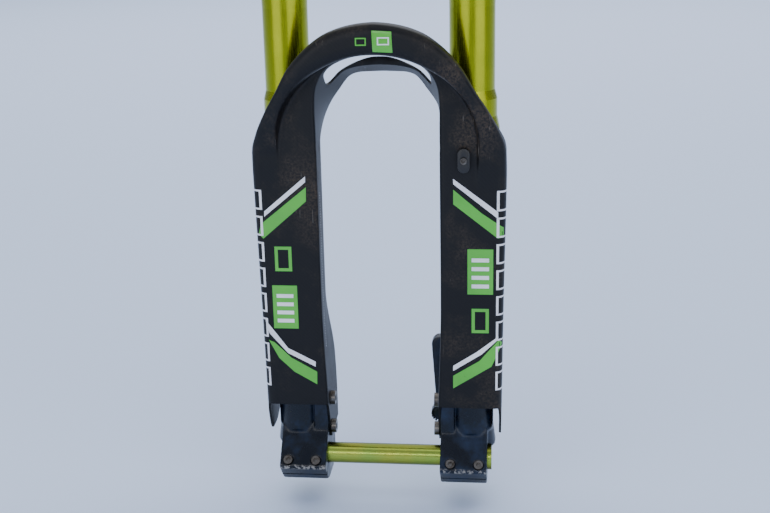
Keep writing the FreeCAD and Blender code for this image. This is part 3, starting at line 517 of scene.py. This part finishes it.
def round_slot(mesh):
    """Smooth the slot's stepped outline within the roof."""
    rim = [v for v in mesh.verts if any(e.is_boundary for e in v.link_edges)
           and (v.co.z - AXLE_Z) / MM > 345 and -34 < (AXLE_Y - v.co.y) / MM < 8.9]
    inside = set(rim)
    for _ in range(12):
        moved = {}
        for v in rim:
            near = [e.other_vert(v) for e in v.link_edges if e.is_boundary]
            if len(near) == 2 and all(n in inside for n in near):
                moved[v] = v.co.lerp((near[0].co + near[1].co) / 2, 0.5)
        for v, co in moved.items():
            v.co = co


def finished(obj, body, slot, finish=None, smooth=35, replaces=()):
    """Apply modifiers, shade, give the finish and fasten the piece to its body."""
    bpy.context.view_layer.update()
    graph = bpy.context.evaluated_depsgraph_get()
    data = bpy.data.meshes.new_from_object(obj.evaluated_get(graph), depsgraph=graph)
    obj.modifiers.clear()
    obj.vertex_groups.clear()
    obj.data = data
    data.materials.clear()
    data.materials.append(finish or FINISH[slot])
    data.shade_smooth()
    data.set_sharp_from_angle(angle=math.radians(smooth))
    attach(obj, body)
    if replaces:
        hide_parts(*replaces)
    return obj


arch = finished(make_arch(), "slider", "carbon", replaces=["torsion_arch"])


# --- Dropouts: forgings whose necks flow into the clamps ------------------------------------------
SIDES = (("left", 1), ("right", -1))
CLAMP_LEAN = math.radians(41.4)      # the clamp's upper face leans back this far
BOLT_WAY = Vector((0, math.cos(CLAMP_LEAN), -math.sin(CLAMP_LEAN)))
SCREW_X = (65, 92)
SEAT_UP, SEAT_IN = 16.4, 13.4        # a pinch screw's seat, along the clamp's lean from the axle
AXLE_BORE, STANCHION_BORE, KNOB_RECESS, FOOT_HOLE, SCREW_SEAT = 10.05, 18.0, 9.0, 5.0, 5.2     # radii
SLIT = 1.8                           # gap of the pinch slot


def solid(mesh, make, place=(0, 0, 0), turn=Matrix.Identity(4), scale=(1, 1, 1), **shape):
    """Add a primitive to a mesh, turned, scaled and then put in its place."""
    where = Matrix.Translation(place) @ turn @ Matrix.Diagonal((*scale, 1))
    make(mesh, matrix=where, **shape)


def as_object(mesh, name):
    data = bpy.data.meshes.new(name)
    mesh.to_mesh(data)
    mesh.free()
    made = bpy.data.objects.new(name, data)
    bpy.context.scene.collection.objects.link(made)
    return made


def rod(mesh, start, way, radius, length, sides=48, end_radius=None):
    """A cylinder or cone from a point along a direction, in metres."""
    turn = way.to_track_quat("Z", "Y").to_matrix().to_4x4()
    solid(mesh, bmesh.ops.create_cone, start + way * (length / 2), turn, cap_ends=True, segments=sides,
          radius1=radius, radius2=radius if end_radius is None else end_radius, depth=length)


def forging(name, side):
    """The CAD dropout with a flared neck, softened all over, then its bores and seats cut crisp again."""
    mesh = bmesh.new()
    mesh.from_mesh(nodes[f"dropout_{name}"].data)
    bmesh.ops.remove_doubles(mesh, verts=mesh.verts, dist=1e-6)
    up_way = Vector((0, 0, 1))
    leg = Vector((LEG_X * side, LEG_Y, AXLE_Z))
    flare = bmesh.new()
    rod(flare, leg + up_way * (6 * MM), up_way, 25.5 * MM, 34 * MM, end_radius=20.6 * MM)
    rod(flare, leg + Vector((0, -4.5, 24)) * MM, up_way, 22.5 * MM, 34 * MM)
    for v in flare.verts:
        v.co.x = leg.x + (v.co.x - leg.x) * 0.92
    swell = bpy.data.meshes.new("swell")
    flare.to_mesh(swell)
    flare.free()
    mesh.from_mesh(swell)
    made = as_object(mesh, f"dropout_{name}_forging")
    skin_over = made.modifiers.new("skin", "REMESH")
    skin_over.mode = "VOXEL"
    skin_over.voxel_size = 1.0 * MM
    ease_off = made.modifiers.new("soften", "SMOOTH")
    ease_off.factor = 0.5
    ease_off.iterations = 14
    cutters = bmesh.new()
    axle = Vector((0, AXLE_Y, AXLE_Z))
    outward = Vector((side, 0, 0))
    rod(cutters, axle + outward * (40 * MM), outward, AXLE_BORE * MM, 80 * MM)
    rod(cutters, leg + up_way * (16 * MM), up_way, STANCHION_BORE * MM, 60 * MM)
    rod(cutters, leg - up_way * (40 * MM), up_way, KNOB_RECESS * MM, 32 * MM)
    rod(cutters, leg - up_way * (9 * MM), up_way, FOOT_HOLE * MM, 26 * MM)
    for x in SCREW_X:
        seat = at(x * side, SEAT_UP * math.cos(CLAMP_LEAN) + SEAT_IN * math.sin(CLAMP_LEAN),
                  SEAT_UP * math.sin(CLAMP_LEAN) - SEAT_IN * math.cos(CLAMP_LEAN))
        rod(cutters, seat - BOLT_WAY * (9 * MM), BOLT_WAY, SCREW_SEAT * MM, 11.4 * MM)
    slit = Vector((0, -math.sin(CLAMP_LEAN), -math.cos(CLAMP_LEAN)))
    turn = Matrix((outward, slit.cross(outward), slit)).transposed().to_4x4()
    solid(cutters, bmesh.ops.create_cube, axle + outward * (80 * MM) + slit * (19 * MM), turn,
          (60 * MM, SLIT * MM, 32 * MM), size=1.0)
    tool = as_object(cutters, "cutters")
    cut = made.modifiers.new("cut", "BOOLEAN")
    cut.operation = "DIFFERENCE"
    cut.solver = "EXACT"
    cut.use_self = True
    cut.object = tool
    finished(made, "slider", "dropout_paint", smooth=50, replaces=[f"dropout_{name}"])
    bpy.data.objects.remove(tool)


for name, side in SIDES:
    forging(name, side)


# --- Machined pieces with eased edges --------------------------------------------------------------
def eased(name, body, slot, width):
    """The CAD piece with its edges broken, as machining leaves them."""
    mesh = bmesh.new()
    mesh.from_mesh(nodes[name].data)
    bmesh.ops.remove_doubles(mesh, verts=mesh.verts, dist=1e-6)
    bmesh.ops.dissolve_limit(mesh, angle_limit=math.radians(0.5), verts=mesh.verts, edges=mesh.edges)
    made = as_object(mesh, f"{name}_eased")
    edge = made.modifiers.new("edge", "BEVEL")
    edge.width = width * MM
    edge.segments = 2
    edge.limit_method = "ANGLE"
    edge.angle_limit = math.radians(40)
    return finished(made, body, slot, smooth=30, replaces=[name])


for name in ("lower_crown", "upper_crown"):
    eased(name, "chassis", "black_anodised", 0.9)
for name, side in SIDES:
    eased(f"frame_bumper_{name}", "chassis", "seal_rubber", 1.2)
eased("hose_guide", "slider", "black_plastic", 0.9)


# --- Repeated ribs, placed by Geometry Nodes -----------------------------------------------------
def rib_group():
    """Blocks set evenly round a circle, each facing outwards."""
    tree = bpy.data.node_groups.new("ring_of_ribs", "GeometryNodeTree")
    face = tree.interface
    face.new_socket("Geometry", in_out="OUTPUT", socket_type="NodeSocketGeometry")
    for title, kind in (("Count", "NodeSocketInt"), ("Radius", "NodeSocketFloat"), ("Block", "NodeSocketVector"),
                        ("Finish", "NodeSocketMaterial")):
        face.new_socket(title, in_out="INPUT", socket_type=kind)
    given = tree.nodes.new("NodeGroupInput").outputs
    ring = node(tree, "GeometryNodeMeshCircle", {"Vertices": given["Count"], "Radius": given["Radius"]})
    block = node(tree, "GeometryNodeMeshCube", {"Size": given["Block"]})
    where = node(tree, "GeometryNodeInputPosition")
    facing = node(tree, "FunctionNodeAlignEulerToVector", {"Vector": where}, axis="X", pivot_axis="Z")
    spread = node(tree, "GeometryNodeInstanceOnPoints", {"Points": ring, "Instance": block, "Rotation": facing})
    real = node(tree, "GeometryNodeRealizeInstances", {"Geometry": spread})
    done = node(tree, "GeometryNodeSetMaterial", {"Geometry": real, "Material": given["Finish"]})
    result = tree.nodes.new("NodeGroupOutput")
    tree.links.new(done, result.inputs[0])
    return tree


RIBS = rib_group()


def ribs(name, body, slot, centre, radius, block, count, turn=Matrix.Identity(4)):
    """A ring of blocks round an axis through centre; radius and block (out, round, along) in mm."""
    made = bpy.data.objects.new(name, bpy.data.meshes.new(name))
    bpy.context.scene.collection.objects.link(made)
    maker = made.modifiers.new("ribs", "NODES")
    maker.node_group = RIBS
    values = {"Count": count, "Radius": radius * MM, "Block": [v * MM for v in block], "Finish": FINISH[slot]}
    for socket in RIBS.interface.items_tree:
        if socket.in_out == "INPUT":
            maker[socket.identifier] = values[socket.name]
    finished(made, body, slot, smooth=20)
    made.data.transform(Matrix.Translation(centre) @ turn)


BACKWARDS = Matrix.Rotation(math.radians(90), 4, "X")
# Each knob's finish, the ribs' circle, how many, how tall they are, and how far their middle is above its foot
for knob, finish, radius, count, tall, rise in (("high_speed_knob", "green_anodised", 13.0, 28, 4.2, 2.9),
                                                ("low_speed_knob", "black_anodised", 7.0, 18, 4.4, 3.0),
                                                ("rebound_knob", "green_anodised", 7.6, 20, 10, 9),
                                                ("preload_knob", "green_anodised", 7.6, 20, 10, 9)):
    low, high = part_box(knob)
    centre = (low + high) / 2
    centre.z = low.z + rise * MM
    ribs(f"{knob}_knurl", knob, finish, centre, radius, (0.9, 1.1, tall), count)
ribs("brake_post_ribs", "slider", "dropout_paint", at(51, -59, 19.7), 8.1, (1.5, 1.7, 11), 18, BACKWARDS)


# --- Printed graphics, laid on the carbon --------------------------------------------------------
FRONTWARD = Vector((0, -1, 0))
INK_LIFT = 0.12         # how far the print stands off the carbon
OVER_INK = 2.2 * INK_LIFT
STAND_OFF = 50          # how far outside the carbon the projection starts
CELL = 2.0
skin = BVHTree.FromPolygons([v.co for v in arch.data.vertices], [p.vertices for p in arch.data.polygons])


def diced(outlines):
    """A flat mesh of the outlines, (across, up) in mm, cut into small cells so that it can follow a curve."""
    mesh = bmesh.new()
    for outline in outlines:
        loop = [mesh.verts.new((a, b, 0)) for a, b in outline]
        edges = [mesh.edges.new((v, loop[i - 1])) for i, v in enumerate(loop)]
        bmesh.ops.triangle_fill(mesh, edges=edges, use_beauty=True, normal=(0, 0, 1))
    for axis in (0, 1):
        values = [v.co[axis] for v in mesh.verts]
        steps = range(math.ceil(min(values) / CELL), math.floor(max(values) / CELL) + 1)
        way = Vector((axis == 0, axis == 1, 0))
        for step in steps:
            bmesh.ops.bisect_plane(mesh, geom=mesh.verts[:] + mesh.edges[:] + mesh.faces[:], dist=1e-5,
                                   plane_co=way * (step * CELL), plane_no=way)
    return mesh


def graphic(name, outlines, ink, side=FRONTWARD, lift=INK_LIFT, middle=(0, 0)):
    """Lay outlines on the carbon from one side; across is measured level from middle, its x and lead in mm."""
    mesh = diced(outlines)
    along = Vector((-side.y, side.x, 0))
    lost = []
    for v in mesh.verts:
        across, up = v.co.x, v.co.y
        source = at(*middle, up) + (along * across + side * STAND_OFF) * MM
        place, normal, _, _ = skin.ray_cast(source, -side)
        if place is None or normal.dot(side) < 0.05:
            lost.append(v)
        else:
            v.co = place + normal * (lift * MM)
    bmesh.ops.delete(mesh, geom=lost, context="VERTS")
    for face in mesh.faces:
        face.normal_update()
        if face.normal.dot(side) < 0:
            face.normal_flip()
    data = bpy.data.meshes.new(name)
    mesh.to_mesh(data)
    mesh.free()
    made = bpy.data.objects.new(name, data)
    bpy.context.scene.collection.objects.link(made)
    return finished(made, "slider", "carbon", ink)


def frame_outlines(a, b, c, d, stroke):
    """The four bars of a hollow box between a, b and c, d."""
    return [[(a, b), (c, b), (c, b + stroke), (a, b + stroke)], [(a, d - stroke), (c, d - stroke), (c, d), (a, d)],
            [(a, b + stroke), (a + stroke, b + stroke), (a + stroke, d - stroke), (a, d - stroke)],
            [(c - stroke, b + stroke), (c, b + stroke), (c, d - stroke), (c - stroke, d - stroke)]]


def bars(a, c, low, high, count, share):
    """A stack of level bars filling a box, each share of its pitch tall."""
    pitch = (high - low) / count
    feet = [low + pitch * i for i in range(count)]
    return [[(a, foot), (c, foot), (c, foot + pitch * share), (a, foot + pitch * share)] for foot in feet]


graphic("stripes_white", [
    [(68.4, 272.1), (109, 239.9), (109, 246.2), (68.4, 276.9)],
    [(67.6, 91), (94.3, 108.2), (109.8, 123.2), (109.8, 126.3), (89.6, 110.4), (67.7, 96.2)],
    [(-66.9, 273.3), (-66.8, 278.7), (-106.3, 245.5), (-106.5, 240.4)],
    [(-63.8, 92.5), (-63.6, 97.6), (-89.7, 111.1), (-104.9, 132.1), (-110.4, 139), (-107.1, 126),
     (-89.9, 106)],
], WHITE)
graphic("stripes_green", [
    [(68.3, 253.4), (109.1, 221.3), (114, 224.2), (114, 231.5), (93.9, 245.2), (68.4, 266.9)],
    [(67.6, 73.3), (103.7, 96.1), (113.5, 119), (110.5, 123.1), (92.4, 101.6), (67.6, 86.1)],
    [(-66.9, 255.2), (-66.4, 268.6), (-110, 233.2), (-112.6, 224), (-108.3, 219.3)],
    [(-62.9, 74.5), (-62.5, 87.4), (-86.9, 101.4), (-102.7, 116.9), (-107.9, 118.9), (-98.6, 100.7),
     (-84.6, 87.1)],
], GREEN)
# Each badge's middle, its foot and top, and the foot of the hollow box beside it
BADGES = (("left", 93, 167.5, 211, 129.5), ("right", -90.4, 131, 173.8, 187.8))
for name, x, low, high, box_foot in BADGES:
    filled = [[(x - 11.8, low), (x + 11.8, low), (x + 11.8, high), (x - 11.8, high)]]
    hollow = frame_outlines(x - 8, box_foot, x + 8, box_foot + 24, 3)
    graphic(f"badge_green_{name}", filled + hollow, GREEN)
for name, x, low, high, _ in BADGES:
    graphic(f"badge_white_{name}", bars(x - 8, x + 8, low + 6, high - 4, 4, 0.45), WHITE, lift=OVER_INK)
graphic("arch_badge_green", [[(1, 394.2), (18.2, 393.4), (17.4, 411.4), (0.4, 412.4)]]
        + frame_outlines(-14, 399.6, -4.5, 406.4, 1.1), GREEN)
graphic("arch_badge_white", frame_outlines(5, 400, 15.4, 406.8, 1.1), WHITE, lift=OVER_INK)
BLOCKS, BLOCK_PITCH, BLOCK_TALL, BLOCK_FOOT = 8, 25, 19, 72
BLOCK_ACROSS = {"left": (-8.2, 11), "right": (-11, 8)}      # across the guard's outer corner
for name, way in SIDES:
    dots = bars(-0.5, 0.5, 108, 262, 60, 0.55)
    graphic(f"pinstripe_{name}", dots, WHITE, Vector((-way, 0, 0)), middle=(57 * way, -7))
    first, last = BLOCK_ACROSS[name]
    blocks = []
    for foot in range(BLOCK_FOOT, BLOCK_FOOT + BLOCKS * BLOCK_PITCH, BLOCK_PITCH):
        blocks += frame_outlines(first, foot, last, foot + BLOCK_TALL, 1.7)
    corner = Vector((way, -0.8, 0)).normalized()
    graphic(f"side_blocks_{name}", blocks, WHITE, corner, lift=1.7 * INK_LIFT, middle=(113.5 * way, 1))


# --- Camera, light and floor -------------------------------------------------------------------
def camera():
    """A 56 mm view from the front, slightly above and to the rider's left."""
    yaw, pitch, roll = math.radians(6.28), math.radians(16.6), math.radians(-1.19)
    back = Vector((math.sin(yaw) * math.cos(pitch), -math.cos(yaw) * math.cos(pitch), math.sin(pitch)))
    right = Vector((0, 0, 1)).cross(back).normalized()
    up = back.cross(right)
    across = right * math.cos(roll) + up * math.sin(roll)
    over = up * math.cos(roll) - right * math.sin(roll)
    turn = Matrix((across, over, back)).transposed().to_4x4()
    data = bpy.data.cameras.new("camera")
    data.lens = 56.1
    data.sensor_width = 36.0
    data.clip_start = 0.01
    data.shift_x = -0.0019
    made = bpy.data.objects.new("camera", data)
    made.matrix_world = Matrix.Translation(at(122.7, 1063.1, 520)) @ turn
    bpy.context.scene.collection.objects.link(made)
    bpy.context.scene.camera = made


def light(name, place, target, size, power):
    """A soft rectangular light, place and target in metres, size across and up, power in watts."""
    data = bpy.data.lights.new(name, "AREA")
    data.shape = "RECTANGLE"
    data.size, data.size_y = size
    data.energy = power
    made = bpy.data.objects.new(name, data)
    made.location = place
    made.rotation_euler = (Vector(target) - Vector(place)).to_track_quat("-Z", "Y").to_euler()
    bpy.context.scene.collection.objects.link(made)


def stage():
    """A wide pale floor just under the dropouts, an even sky, and the lights."""
    floor_data = bpy.data.meshes.new("floor")
    reach, drop = 9.0, cad_low[2] - 0.02
    corners = [(x * reach, y * reach, drop) for x, y in ((-1, -1), (1, -1), (1, 1), (-1, 1))]
    floor_data.from_pydata(corners, [], [(0, 1, 2, 3)])
    floor = bpy.data.objects.new("floor", floor_data)
    bpy.context.scene.collection.objects.link(floor)
    floor_data.materials.append(material("floor_pale", "D4E4FF", roughness=0.85)[0])
    floor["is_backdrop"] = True
    world = bpy.data.worlds.new("studio")
    bpy.context.scene.world = world
    world.use_nodes = True
    back = world.node_tree.nodes["Background"]
    back.inputs["Color"].default_value = colour("CCD8F2")
    back.inputs["Strength"].default_value = 0.64
    centre = at(0, 0, 250)
    light("window_right", centre + Vector((-1.35, -1.9, 0.35)), centre, (1.9, 2.2), 17)
    light("window_left", centre + Vector((1.6, -1.7, 0.35)), centre, (2.1, 2.2), 19)
    light("strip", centre + Vector((0.1, -2.3, 0.75)), centre + Vector((0, 0, -0.25)), (3.4, 0.2), 11)
    light("overhead", centre + Vector((0, -0.5, 2.4)), centre, (1.8, 1.0), 9)
    light("ceiling", centre + Vector((0, 4.4, 3.4)), centre + Vector((0, 4.0, 0)), (9, 8), 350)


camera()
stage()
low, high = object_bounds()
